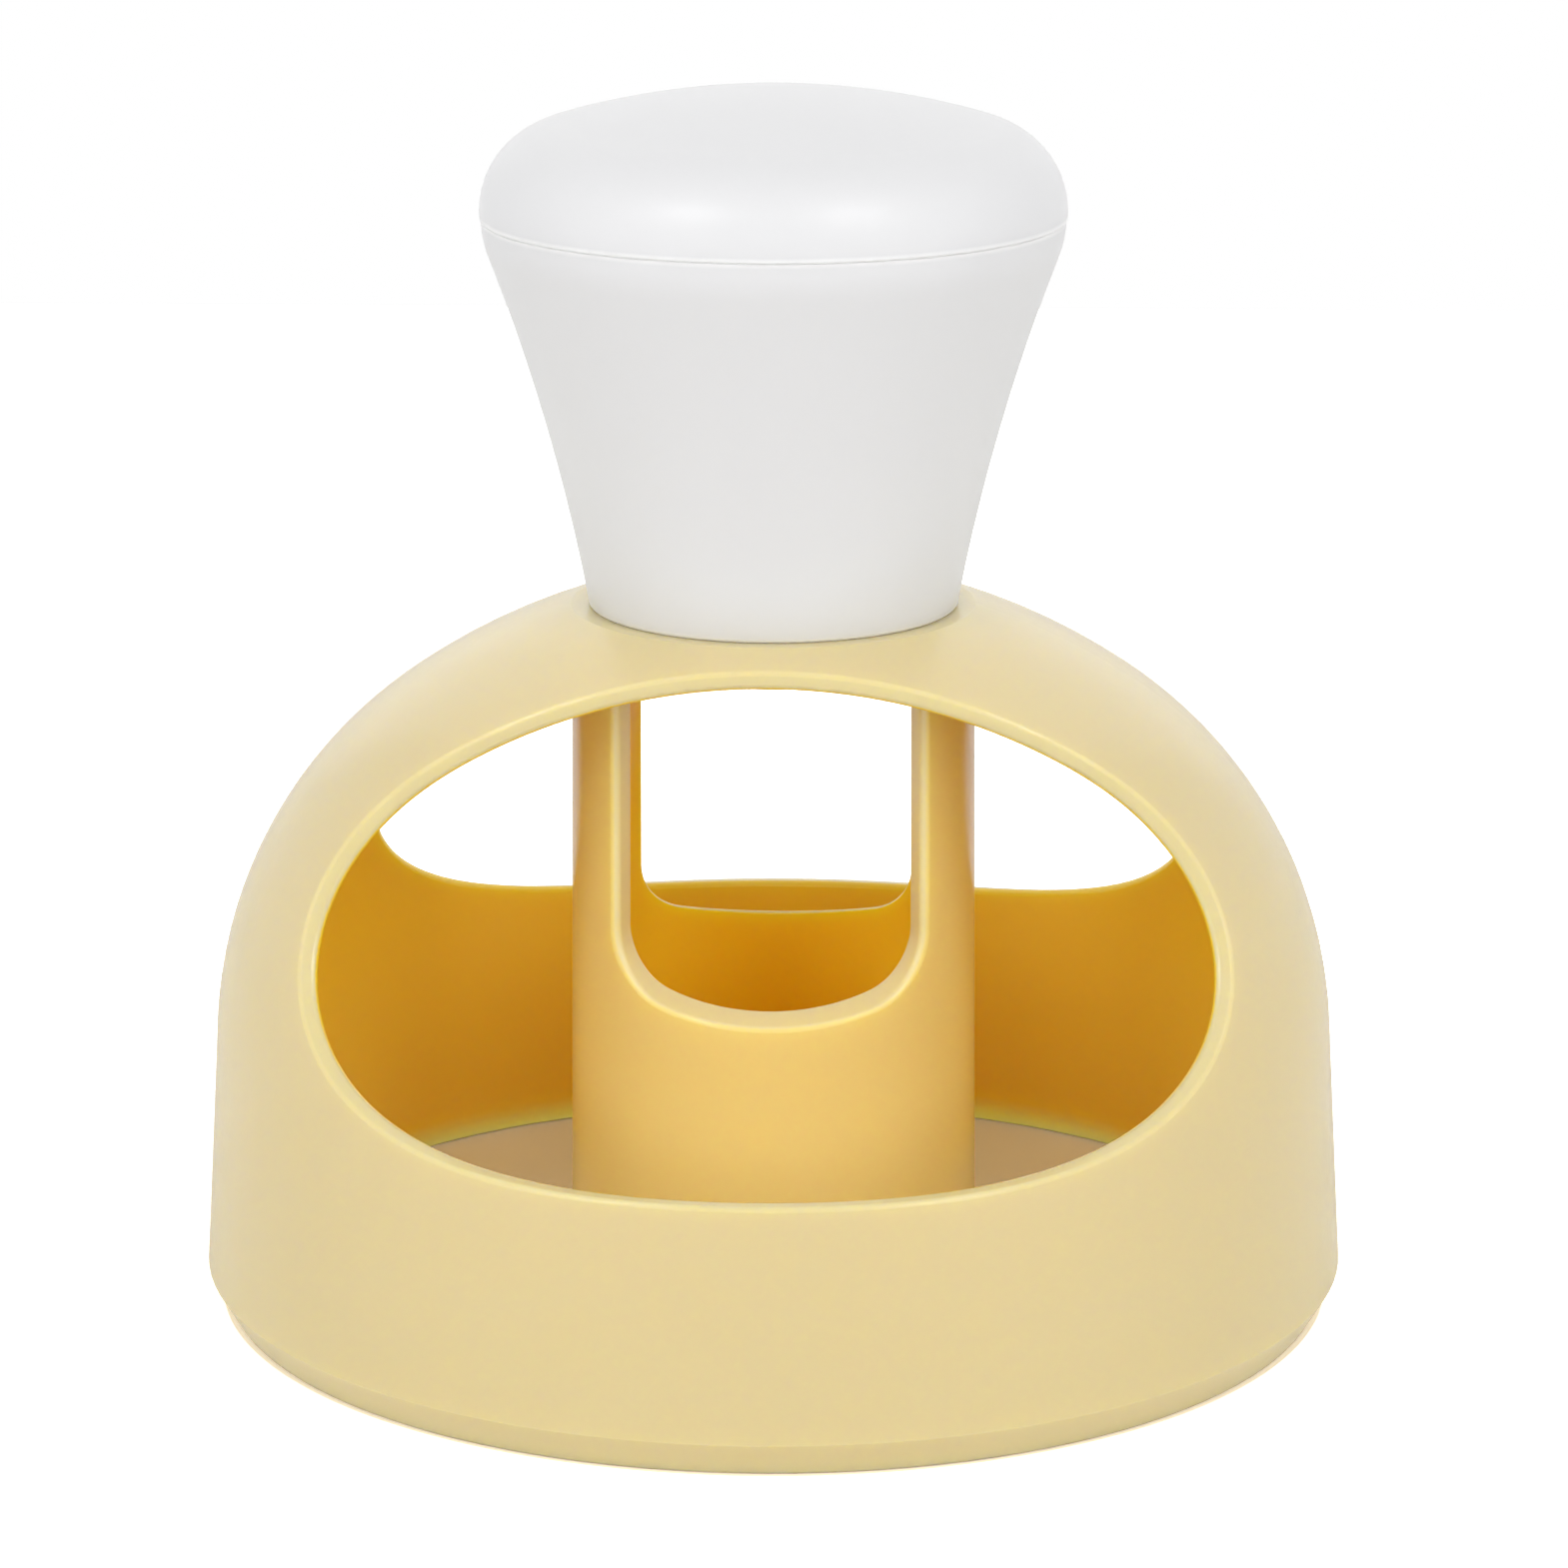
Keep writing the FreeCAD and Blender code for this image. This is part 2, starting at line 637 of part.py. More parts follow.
def make_centre_cutter(doc):
    """Tube that cuts the hole, open at front and back, with a spigot that rises into the knob."""
    body = new_body(doc, "centre_cutter")
    turn(body, "Revolution", "tube", draw_tube(body))
    outline = draw_window(body)
    front_window = extrude(body, "Pocket", "front_window", outline, WINDOW_DEPTH, draft="-sizes.window_draft")
    windows = mirror_front_to_back(body, "windows", front_window)
    foot = (SIZES["tube_foot_radius"], SIZES["bevel_height"])
    top = (SIZES["tube_top_radius"], value_of(body, CROWN_UNDERSIDE))
    round_edges(body, "window_rims", windows, window_edge_test(foot, top), "sizes.window_fillet")
    bore = turn(body, "Groove", "bore", draw_bore(body))
    mouth = (value_of(body, BORE_FOOT), 0.0)
    roof = (value_of(body, BORE_TOP), value_of(body, PLATE_UNDERSIDE))
    inner_edge = window_edge_test(mouth, roof)
    round_edges(body, "window_inner_rims", bore, inner_edge, "sizes.window_inner_fillet")
    plate = draw_keyed_round(
        body, "plate_outline", PLATE_RADIUS, "sizes.plate_flats / 2", lift=PLATE_UNDERSIDE
    )
    extrude(body, "Pad", "plate", plate, "sizes.tube_plate", upward=True)
    spigot = draw_keyed_round(
        body, "spigot_outline", "sizes.spigot_radius", "sizes.spigot_flats / 2", lift=CROWN_UNDERSIDE
    )
    extrude(body, "Pad", "spigot", spigot, "sizes.crown_plate + sizes.spigot_reach", upward=True)
    pilot = draw_circle(
        body, "pilot_outline", "sizes.screw_radius + sizes.pilot_clearance",
        lift=f"{SEAT_HEIGHT} + sizes.spigot_reach",
    )
    extrude(body, "Pocket", "pilot_hole", pilot, PILOT_DEPTH)
    return body


def flare_arcs():
    """Return the centres of the knob's flare and lip arcs, and the point where they meet.

    The lip arc ends upright at the knob's top, and the hollow flare arc, centred outside the knob,
    runs from its foot and is tangent to the lip.
    """
    foot = (SIZES["knob_foot_radius"], 0.0)
    lip = SIZES["lip_radius"]
    flare = SIZES["flare_radius"]
    lip_centre = (SIZES["knob_top_radius"] - lip, SIZES["knob_height"])
    across = lip_centre[0] - foot[0]
    distance = hypot(across, lip_centre[1])
    along = (distance ** 2 + flare ** 2 - (flare + lip) ** 2) / (2 * distance)
    aside = sqrt(flare ** 2 - along ** 2)
    base = point_between(foot, lip_centre, along / distance)
    flare_centre = (base[0] + lip_centre[1] / distance * aside, base[1] - across / distance * aside)
    return flare_centre, lip_centre, point_between(flare_centre, lip_centre, flare / (flare + lip))


def draw_knob(body):
    """Draw half the hollow knob: flared wall, floor, and the bore that takes the cap's skirt."""
    outline = Outline(body, "knob_outline", "XZ_Plane")
    flare_centre, lip_centre, meeting = flare_arcs()
    inner_flare = SIZES["flare_radius"] + SIZES["knob_wall"]
    ledge = "sizes.knob_height - sizes.skirt_length - sizes.skirt_end_gap"
    groove_low = "sizes.knob_height - sizes.skirt_length - sizes.cap_clearance"
    groove_high = "sizes.knob_height - sizes.skirt_length + sizes.bead_width + sizes.cap_clearance"
    groove_radius = f"{SKIRT_BORE} + sizes.bead_height"
    floor = outline.value(FLOOR_TOP)
    bore = outline.value(SKIRT_BORE)
    height = SIZES["knob_height"]

    def inside_radius(at_height):
        return flare_centre[0] - sqrt(inner_flare ** 2 - (at_height - flare_centre[1]) ** 2)

    outline.start(0, 0)
    outline.line("foot", SIZES["knob_foot_radius"], 0)
    outline.arc("flare", flare_centre, *meeting)
    outline.arc("lip", lip_centre, SIZES["knob_top_radius"], height)
    outline.line("rim", bore, height)
    outline.line("bore_over_groove", bore, outline.value(groove_high))
    outline.line("groove_roof", outline.value(groove_radius), outline.value(groove_high))
    outline.line("groove", outline.value(groove_radius), outline.value(groove_low))
    outline.line("groove_floor", bore, outline.value(groove_low))
    outline.line("bore_under_groove", bore, outline.value(ledge))
    outline.line("ledge", inside_radius(outline.value(ledge)), outline.value(ledge))
    outline.arc("inside", flare_centre, inside_radius(floor), floor)
    outline.line("floor", 0, floor)
    outline.line("axis", 0, 0)
    outline.close(smooth=("flare",))
    outline.pin("foot", "start")
    outline.level("foot", "rim", "groove_roof", "groove_floor", "ledge", "floor")
    outline.upright("bore_over_groove", "groove", "bore_under_groove", "axis")
    outline.across("foot", "end", "sizes.knob_foot_radius")
    outline.radius("flare", "sizes.flare_radius")
    outline.radius("lip", "sizes.lip_radius")
    outline.across("lip", "end", "sizes.knob_top_radius")
    outline.up("lip", "end", "sizes.knob_height")
    outline.up("lip", "centre", "sizes.knob_height")
    outline.across("rim", "end", SKIRT_BORE)
    outline.across("bore_under_groove", "end", SKIRT_BORE)
    outline.across("groove", "start", groove_radius)
    outline.up("groove", "start", groove_high)
    outline.up("groove", "end", groove_low)
    outline.up("ledge", "start", ledge)
    outline.rule("Coincident", *outline.at("inside", "centre"), *outline.at("flare", "centre"))
    outline.radius("inside", "sizes.flare_radius + sizes.knob_wall")
    outline.up("floor", "start", FLOOR_TOP)
    return outline


def make_knob_body(doc):
    """Hollow flared grip that stands on the bridge's seat, keyed to the spigot."""
    body = new_body(doc, "knob_body", SEAT_HEIGHT)
    grip = turn(body, "Revolution", "grip", draw_knob(body))
    foot = round_circle(body, "foot_edge", grip, "sizes.knob_foot_radius", "0", "sizes.knob_foot_fillet")
    round_circle(body, "rim_edge", foot, "sizes.knob_top_radius", "sizes.knob_height", "sizes.seam_fillet")
    socket = draw_keyed_round(body, "socket_outline", KEY_HOLE_RADIUS, KEY_HOLE_HALF)
    extrude(body, "Pocket", "socket", socket, SOCKET_DEPTH, upward=True)
    hole = draw_circle(body, "screw_hole_outline", "sizes.screw_radius + sizes.screw_hole_clearance")
    cut_through(body, "screw_hole", hole)
    return body


def draw_cap(body):
    """Draw half the cap: a rounded crown over a thin skirt with a snap bead at its end."""
    outline = Outline(body, "cap_outline", "XZ_Plane")
    edge = SIZES["cap_edge_radius"]
    crown = SIZES["cap_crown_radius"]
    crown_centre = (0.0, SIZES["cap_height"] - crown)
    edge_x = outline.value(CAP_RADIUS) - edge
    edge_centre = (edge_x, crown_centre[1] + sqrt((crown - edge) ** 2 - edge_x ** 2))
    seam = edge_x + sqrt(edge ** 2 - edge_centre[1] ** 2)
    crown_end = point_between(crown_centre, edge_centre, crown / (crown - edge))
    skirt = outline.value(SKIRT_RADIUS)
    inside = f"{SKIRT_RADIUS} - sizes.skirt_wall"
    bead = f"{SKIRT_RADIUS} + sizes.bead_height"
    inner_crown = crown - SIZES["cap_wall"]
    skirt_foot = -SIZES["skirt_length"]
    bead_top = skirt_foot + SIZES["bead_width"]
    roof = crown_centre[1] + inner_crown
    inside_at = outline.value(inside)
    outline.start(0, SIZES["cap_height"])
    outline.arc("crown", crown_centre, *crown_end)
    outline.arc("edge", edge_centre, seam, 0)
    outline.line("rest", skirt, 0)
    outline.line("skirt", skirt, bead_top)
    outline.line("bead_top", outline.value(bead), bead_top - SIZES["bead_width"] / 2)
    outline.line("bead_foot", skirt, skirt_foot)
    outline.line("skirt_foot", inside_at, skirt_foot)
    outline.line("inside", inside_at, crown_centre[1] + sqrt(inner_crown ** 2 - inside_at ** 2))
    outline.arc("roof", crown_centre, 0, roof)
    outline.line("axis", 0, SIZES["cap_height"])
    outline.close(smooth=("crown",))
    outline.upright("skirt", "inside", "axis")
    outline.level("rest", "skirt_foot")
    outline.on_axis("axis", "start")
    outline.on_axis("crown", "centre")
    outline.up("axis", "end", "sizes.cap_height")
    outline.radius("crown", "sizes.cap_crown_radius")
    outline.radius("edge", "sizes.cap_edge_radius")
    outline.across("edge", "centre", f"{CAP_RADIUS} - sizes.cap_edge_radius")
    outline.up("edge", "end", "0")
    outline.across("rest", "end", SKIRT_RADIUS)
    outline.across("bead_foot", "end", SKIRT_RADIUS)
    outline.up("skirt", "end", "sizes.bead_width - sizes.skirt_length")
    outline.across("bead_top", "end", bead)
    outline.up("bead_top", "end", "sizes.bead_width / 2 - sizes.skirt_length")
    outline.up("bead_foot", "end", "-sizes.skirt_length")
    outline.across("skirt_foot", "end", inside)
    outline.rule("Coincident", *outline.at("roof", "centre"), *outline.at("crown", "centre"))
    outline.radius("roof", "sizes.cap_crown_radius - sizes.cap_wall")
    return outline


def make_knob_cap(doc):
    """Domed cap that stands on the knob's rim and snaps into its bore."""
    body = new_body(doc, "knob_cap", f"{SEAT_HEIGHT} + sizes.knob_height")
    cap = turn(body, "Revolution", "cap", draw_cap(body))
    skirt = value_of(cap, SKIRT_RADIUS)

    def is_seam(point, edge):
        return abs(point.z) < TOLERANCE and hypot(point.x, point.y) > skirt + TOLERANCE

    round_edges(body, "seam_edge", cap, is_seam, "sizes.seam_fillet")
    return body


def draw_screw(body):
    """Draw half the screw: pointed pin, flat bearing face and domed head."""
    outline = Outline(body, "screw_outline", "XZ_Plane")
    pin = SIZES["screw_radius"]
    head = SIZES["head_radius"]
    side = SIZES["head_side"]
    dome = SIZES["head_height"] - side
    dome_radius = (head ** 2 + dome ** 2) / (2 * dome)
    outline.start(0, -SIZES["screw_length"])
    outline.line("tip", pin, SIZES["screw_tip"] - SIZES["screw_length"])
    outline.line("pin", pin, 0)
    outline.line("bearing", head, 0)
    outline.line("side", head, side)
    outline.arc("dome", (0, SIZES["head_height"] - dome_radius), 0, SIZES["head_height"])
    outline.line("axis", 0, -SIZES["screw_length"])
    outline.close()
    outline.upright("pin", "side", "axis")
    outline.level("bearing")
    outline.on_axis("axis", "start")
    outline.on_axis("dome", "centre")
    outline.up("tip", "start", "-sizes.screw_length")
    outline.up("tip", "end", "sizes.screw_tip - sizes.screw_length")
    outline.across("tip", "end", "sizes.screw_radius")
    outline.up("pin", "end", "0")
    outline.across("bearing", "end", "sizes.head_radius")
    outline.up("side", "end", "sizes.head_side")
    outline.up("dome", "end", "sizes.head_height")
    return outline


def draw_recess(body):
    """Draw one bar of the screw's cross recess, at the top of its head."""
    outline = Outline(body, "recess_outline", "XY_Plane", "sizes.head_height")
    half_span = SIZES["recess_span"] / 2
    half_width = SIZES["recess_width"] / 2
    outline.start(-half_span, -half_width)
    outline.line("front", half_span, -half_width)
    outline.line("right", half_span, half_width)
    outline.line("back", -half_span, half_width)
    outline.line("left", -half_span, -half_width)
    outline.close()
    outline.level("front", "back")
    outline.upright("right", "left")
    outline.across("right", "start", "sizes.recess_span / 2")
    outline.across("left", "start", "-sizes.recess_span / 2")
    outline.up("back", "start", "sizes.recess_width / 2")
    outline.up("front", "start", "-sizes.recess_width / 2")
    return outline


def make_knob_screw(doc):
    """Screw that clamps knob, bridge and tube together, under the cap."""
    body = new_body(doc, "knob_screw", f"{SEAT_HEIGHT} + {FLOOR_TOP}")
    turn(body, "Revolution", "screw", draw_screw(body))
    bar = extrude(body, "Pocket", "recess_bar", draw_recess(body), "sizes.recess_depth")
    axis = (origin_feature(body, "Z_Axis"), [""])
    add_feature(body, "PolarPattern", "recess", Originals=[bar], Axis=axis, Angle=90, Occurrences=2)
    return body


def check(doc, bodies):
    """Stop if a sketch is loose, a feature failed or a piece is not one valid solid."""
    for item in doc.Objects:
        if "Invalid" in item.State or "Error" in item.State:
            raise RuntimeError(f"{item.Name} failed: {item.State}")
        if item.TypeId == "Sketcher::SketchObject" and not item.FullyConstrained:
            raise RuntimeError(f"{item.Name} is not fully sized")
    for body in bodies:
        shape = body.Shape
        if shape.isNull() or not shape.isValid() or len(shape.Solids) != 1:
            raise RuntimeError(f"{body.Label} is not one valid solid")


def main():
    """Build every piece, check it and write it."""
    doc = FreeCAD.newDocument("doughnut_cutter")
    make_sheet(doc)
    makers = (make_cutter_body, make_centre_cutter, make_knob_body, make_knob_cap, make_knob_screw)
    bodies = [maker(doc) for maker in makers]
    doc.recompute()
    check(doc, bodies)
    os.makedirs("parts", exist_ok=True)
    for body in bodies:
        print(f"{body.Label}: {body.Shape.Volume:.0f} mm3")
        body.Shape.exportStep(f"parts/{body.Label}.step")


main()
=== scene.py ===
"""Doughnut cutter: the finishes of its pieces, the white studio that it stands in and the camera.

Metres, +Z up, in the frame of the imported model: the origin is the centre of the cutting edges, the
bridge spans X and the openings under it face -Y and +Y.
"""

import logging
from dataclasses import dataclass, replace
from enum import Enum
from math import cos, pi, radians, sin
from typing import Any

import bpy
from mathutils import Euler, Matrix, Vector

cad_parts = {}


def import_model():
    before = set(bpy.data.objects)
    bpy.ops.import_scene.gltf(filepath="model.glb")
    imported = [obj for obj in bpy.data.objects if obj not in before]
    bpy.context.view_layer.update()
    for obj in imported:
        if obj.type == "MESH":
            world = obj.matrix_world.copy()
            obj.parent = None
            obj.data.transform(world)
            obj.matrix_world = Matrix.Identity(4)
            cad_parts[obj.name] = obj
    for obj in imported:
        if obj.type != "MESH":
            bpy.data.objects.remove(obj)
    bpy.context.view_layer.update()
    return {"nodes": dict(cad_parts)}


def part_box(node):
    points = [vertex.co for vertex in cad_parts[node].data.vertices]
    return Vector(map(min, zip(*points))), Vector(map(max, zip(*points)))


LOG = logging.getLogger("doughnut_cutter")
FRAME_PIXELS = 1569
MM = 0.001
# Height of the middle of the hollow under the bridge, which the inner faces look to
HOLLOW_HEIGHT_MM = 18.0


class Coordinates(Enum):
    """Where a pattern's coordinates come from."""

    OBJECT = "Object"
    NORMAL = "Normal"


def linear(hex_colour: str) -> tuple[float, float, float, float]:
    """Turn an sRGB hex colour into the linear colour that a shader takes.

    Args:
        hex_colour: Six hex digits, with or without a leading hash.

    Returns:
        Linear red, green, blue and an alpha of 1.
    """
    digits = hex_colour.lstrip("#")
    channels = []
    for start in (0, 2, 4):
        level = int(digits[start:start + 2], 16) / 255
        channels.append(level / 12.92 if level <= 0.04045 else ((level + 0.055) / 1.055) ** 2.4)
    return channels[0], channels[1], channels[2], 1.0


def add_node(
    tree: bpy.types.NodeTree, kind: str, settings: dict[str, Any] | None = None, *values: Any, **named: Any
) -> bpy.types.Node:
    """Add a node, give it its settings and fill or link its sockets.

    Args:
        tree: The node tree that gets the node.
        kind: The node's Blender type.
        settings: Values of the node's own properties.
        *values: A value or an output socket for each of the first inputs, in their order.
        **named: A value or an output socket for each input, named in lower case with underscores.

    Returns:
        The new node.
    """
    node = tree.nodes.new(kind)
    for name, value in (settings or {}).items():
        setattr(node, name, value)
    by_name = {}
    for socket in node.inputs:
        if socket.enabled:
            by_name.setdefault(socket.name.lower().replace(" ", "_"), socket)
    filled = list(zip(node.inputs, values))
    filled.extend((by_name[name], value) for name, value in named.items())
    for socket, value in filled:
        if isinstance(value, bpy.types.NodeSocket):
            tree.links.new(value, socket)
        else:
            socket.default_value = value
    return node


def new_material(name: str) -> bpy.types.Material:
    """Start an empty node material under a name."""
    material = bpy.data.materials.new(name)
    material.use_nodes = True
    material.node_tree.nodes.clear()
    return material


@dataclass(frozen=True)
class MouldedSkin:
    """The surface that a polished mould leaves: slow shrink ripples under a fine uneven gloss."""

    roughness: float
    roughness_spread: float
    ripple_mm: float
    ripple_depth_mm: float
    grain_mm: float
    grain_depth_mm: float
    ripple_detail: float = 1.0
    grain_detail: float = 2.0

    def add(
        self, tree: bpy.types.NodeTree, place: bpy.types.NodeSocket
    ) -> tuple[bpy.types.NodeSocket, bpy.types.NodeSocket]:
        """Add the skin's nodes to a material.

        Args:
            tree: The material's node tree.
            place: The coordinates that the patterns read.

        Returns:
            The roughness and the normal that a shader takes.
        """
        ripple = add_node(
            tree, "ShaderNodeTexNoise",
            vector=place, scale=1 / (self.ripple_mm * MM), detail=self.ripple_detail,
        )
        grain = add_node(
            tree, "ShaderNodeTexNoise",
            vector=place, scale=1 / (self.grain_mm * MM), detail=self.grain_detail,
        )
        gloss = add_node(
            tree, "ShaderNodeMapRange", value=grain.outputs["Fac"],
            to_min=self.roughness - self.roughness_spread,
            to_max=self.roughness + self.roughness_spread,
        )
        waves = add_node(
            tree, "ShaderNodeBump", strength=1.0, distance=self.ripple_depth_mm * MM,
            height=ripple.outputs["Fac"],
        )
        pores = add_node(
            tree, "ShaderNodeBump", strength=1.0, distance=self.grain_depth_mm * MM,
            height=grain.outputs["Fac"], normal=waves.outputs["Normal"],
        )
        return gloss.outputs["Result"], pores.outputs["Normal"]


@dataclass(frozen=True)
class TranslucentPlastic:
    """Thin moulded polypropylene that light comes through.

    Outside it is pale: the plastic's colour, paled further by a painted sheen. On the rims, where the wall
    is seen edge on, a paler colour is a painted highlight. On the faces that look to the hollow a deeper
    amber is painted light and shade, for the light that has come through the wall and the shade in the
    hollow; it fades out down at the thin cutting edge.

    How far a face looks outwards goes from 1 to -1. The painted rim highlight and the painted amber of the
    hollow each come in while it goes from one value to another, and only the axes of weight 1 count for
    it.
    """

    name: str
    colour: str
    painted_rim_highlight: str
    painted_hollow_amber: str
    axes: tuple[float, float, float]
    rim_from: float
    rim_to: float
    painted_hollow_from: float
    painted_hollow_to: float
    edge_mm: float
    ior: float
    scatter: float
    scatter_mm: tuple[float, float, float]
    skin: MouldedSkin

    def build(self) -> bpy.types.Material:
        """Make the material.

        Returns:
            The finished material.
        """
        material = new_material(self.name)
        tree = material.node_tree
        coordinates = add_node(tree, "ShaderNodeTexCoord").outputs
        place = coordinates[Coordinates.OBJECT.value]
        roughness, normal = self.skin.add(tree, place)
        facing = self.add_facing(tree, place, coordinates[Coordinates.NORMAL.value])
        # Painted highlight: a paler colour on the rims, by how far the face looks outwards
        skin_with_painted_rim = add_node(
            tree, "ShaderNodeMix", {"data_type": "RGBA"},
            factor=self.add_share(tree, facing, self.rim_from, self.rim_to),
            a=linear(self.colour), b=linear(self.painted_rim_highlight),
        )
        # Painted amber light and shade on the faces that look to the hollow, fading out towards the
        # cutting edge
        height = add_node(tree, "ShaderNodeSeparateXYZ", vector=place).outputs["Z"]
        painted_hollow_share = add_node(
            tree, "ShaderNodeMath", {"operation": "MULTIPLY"},
            self.add_share(tree, facing, self.painted_hollow_from, self.painted_hollow_to),
            self.add_share(tree, height, 0.0, self.edge_mm * MM),
        )
        colour = add_node(
            tree, "ShaderNodeMix", {"data_type": "RGBA"}, factor=painted_hollow_share.outputs["Value"],
            a=skin_with_painted_rim.outputs["Result"], b=linear(self.painted_hollow_amber),
        )
        shader = add_node(
            tree, "ShaderNodeBsdfPrincipled", {"subsurface_method": "RANDOM_WALK"},
            base_color=colour.outputs["Result"], roughness=roughness, ior=self.ior, normal=normal,
            subsurface_weight=self.scatter, subsurface_radius=self.scatter_mm, subsurface_scale=MM,
        )
        add_node(tree, "ShaderNodeOutputMaterial", surface=shader.outputs["BSDF"])
        return material

    def add_facing(
        self, tree: bpy.types.NodeTree, place: bpy.types.NodeSocket, looks: bpy.types.NodeSocket
    ) -> bpy.types.NodeSocket:
        """Add nodes that give 1 where a face looks straight outwards and -1 where it looks to the hollow.

        Args:
            tree: The material's node tree.
            place: The shaded point.
            looks: The direction that its face looks in.

        Returns:
            How far the face looks outwards.
        """
        middle = (0.0, 0.0, HOLLOW_HEIGHT_MM * MM)
        away = add_node(tree, "ShaderNodeVectorMath", {"operation": "SUBTRACT"}, place, middle)
        along = add_node(
            tree, "ShaderNodeVectorMath", {"operation": "MULTIPLY"}, away.outputs["Vector"], self.axes
        )
        outward = add_node(
            tree, "ShaderNodeVectorMath", {"operation": "NORMALIZE"}, along.outputs["Vector"]
        )
        facing = add_node(
            tree, "ShaderNodeVectorMath", {"operation": "DOT_PRODUCT"}, outward.outputs["Vector"], looks
        )
        return facing.outputs["Value"]

    def add_share(
        self, tree: bpy.types.NodeTree, value: bpy.types.NodeSocket, start: float, end: float
    ) -> bpy.types.NodeSocket:
        """Add a node that goes smoothly from 0 to 1 while a value goes from its start to its end."""
        share = add_node(
            tree, "ShaderNodeMapRange", {"interpolation_type": "SMOOTHSTEP"},
            value=value, from_min=start, from_max=end, to_min=0.0, to_max=1.0,
        )
        return share.outputs["Result"]


@dataclass(frozen=True)
class OpaquePlastic:
    """White ABS from a satin mould: an even colour that hardly varies, under a soft gloss.

    Light spreads a little way under its skin, so fine grooves look soft. Narrow bands of painted light
    along the seam and round the foot paint out the shade in the grooves there.
    """

    name: str
    colour: str
    shade: str
    shade_mm: float
    painted_groove_light: str
    painted_groove_light_mm: float
    ior: float
    scatter: float
    scatter_mm: tuple[float, float, float]
    skin: MouldedSkin
    shade_detail: float = 2.0

    def build(self, foot: float, seam: float) -> bpy.types.Material:
        """Make the material.

        Args:
            foot: Height of the foot in metres.
            seam: Height of the seam in metres.

        Returns:
            The finished material.
        """
        material = new_material(self.name)
        tree = material.node_tree
        place = add_node(tree, "ShaderNodeTexCoord").outputs[Coordinates.OBJECT.value]
        roughness, normal = self.skin.add(tree, place)
        clouds = add_node(
            tree, "ShaderNodeTexNoise",
            vector=place, scale=1 / (self.shade_mm * MM), detail=self.shade_detail,
        )
        even = add_node(
            tree, "ShaderNodeMix", {"data_type": "RGBA"},
            factor=clouds.outputs["Fac"], a=linear(self.colour), b=linear(self.shade),
        )
        height = add_node(tree, "ShaderNodeSeparateXYZ", vector=place).outputs["Z"]
        # Painted light: whiter bands that paint out the shade in the grooves at the foot and the seam
        painted_groove_share = add_node(
            tree, "ShaderNodeMath", {"operation": "MAXIMUM"},
            self.add_painted_groove_light(tree, height, foot), self.add_painted_groove_light(tree, height, seam),
        )
        colour = add_node(
            tree, "ShaderNodeMix", {"data_type": "RGBA"}, factor=painted_groove_share.outputs["Value"],
            a=even.outputs["Result"], b=linear(self.painted_groove_light),
        )
        shader = add_node(
            tree, "ShaderNodeBsdfPrincipled", {"subsurface_method": "RANDOM_WALK"},
            base_color=colour.outputs["Result"], roughness=roughness, ior=self.ior, normal=normal,
            subsurface_weight=self.scatter, subsurface_radius=self.scatter_mm, subsurface_scale=MM,
        )
        add_node(tree, "ShaderNodeOutputMaterial", surface=shader.outputs["BSDF"])
        return material

    def add_painted_groove_light(
        self, tree: bpy.types.NodeTree, height: bpy.types.NodeSocket, middle: float
    ) -> bpy.types.NodeSocket:
        """Add nodes that give 1 at a height and fade to 0 above and below it.

        Args:
            tree: The material's node tree.
            height: The height of the shaded point.
            middle: The band's height in metres.

        Returns:
            The share of the painted light that paints out the groove's shade.
        """
        above = add_node(tree, "ShaderNodeMath", {"operation": "SUBTRACT"}, height, middle)
        distance = add_node(tree, "ShaderNodeMath", {"operation": "ABSOLUTE"}, above.outputs["Value"])
        share = add_node(
            tree, "ShaderNodeMapRange", {"interpolation_type": "SMOOTHSTEP"},
            value=distance.outputs["Value"],
            from_min=self.painted_groove_light_mm * MM, from_max=0.0, to_min=0.0, to_max=1.0,
        )
        return share.outputs["Result"]


@dataclass(frozen=True)
class PlatedSteel:
    """Zinc plated steel wire, cold headed into a screw: dull silver with a fine uneven shade."""

    name: str
    colour: str
    shade: str
    roughness: float
    grain_mm: float
    grain_detail: float = 3.0

    def build(self) -> bpy.types.Material:
        """Make the material.

        Returns:
            The finished material.
        """
        material = new_material(self.name)
        tree = material.node_tree
        place = add_node(tree, "ShaderNodeTexCoord").outputs[Coordinates.OBJECT.value]
        grain = add_node(
            tree, "ShaderNodeTexNoise",
            vector=place, scale=1 / (self.grain_mm * MM), detail=self.grain_detail,
        )
        colour = add_node(
            tree, "ShaderNodeMix", {"data_type": "RGBA"},
            factor=grain.outputs["Fac"], a=linear(self.colour), b=linear(self.shade),
        )
        shader = add_node(
            tree, "ShaderNodeBsdfPrincipled",
            base_color=colour.outputs["Result"], metallic=1.0, roughness=self.roughness,
        )
        add_node(tree, "ShaderNodeOutputMaterial", surface=shader.outputs["BSDF"])
        return material


# A polished mould gives clear soft lights on the yellow pieces, a satin one gives broad spots on the knob
GLOSS_MOULD = MouldedSkin(
    roughness=0.24, roughness_spread=0.03,
    ripple_mm=6.0, ripple_depth_mm=0.01, grain_mm=0.5, grain_depth_mm=0.001,
)
SATIN_MOULD = MouldedSkin(
    roughness=0.36, roughness_spread=0.03,
    ripple_mm=5.0, ripple_depth_mm=0.01, grain_mm=0.6, grain_depth_mm=0.002,
)
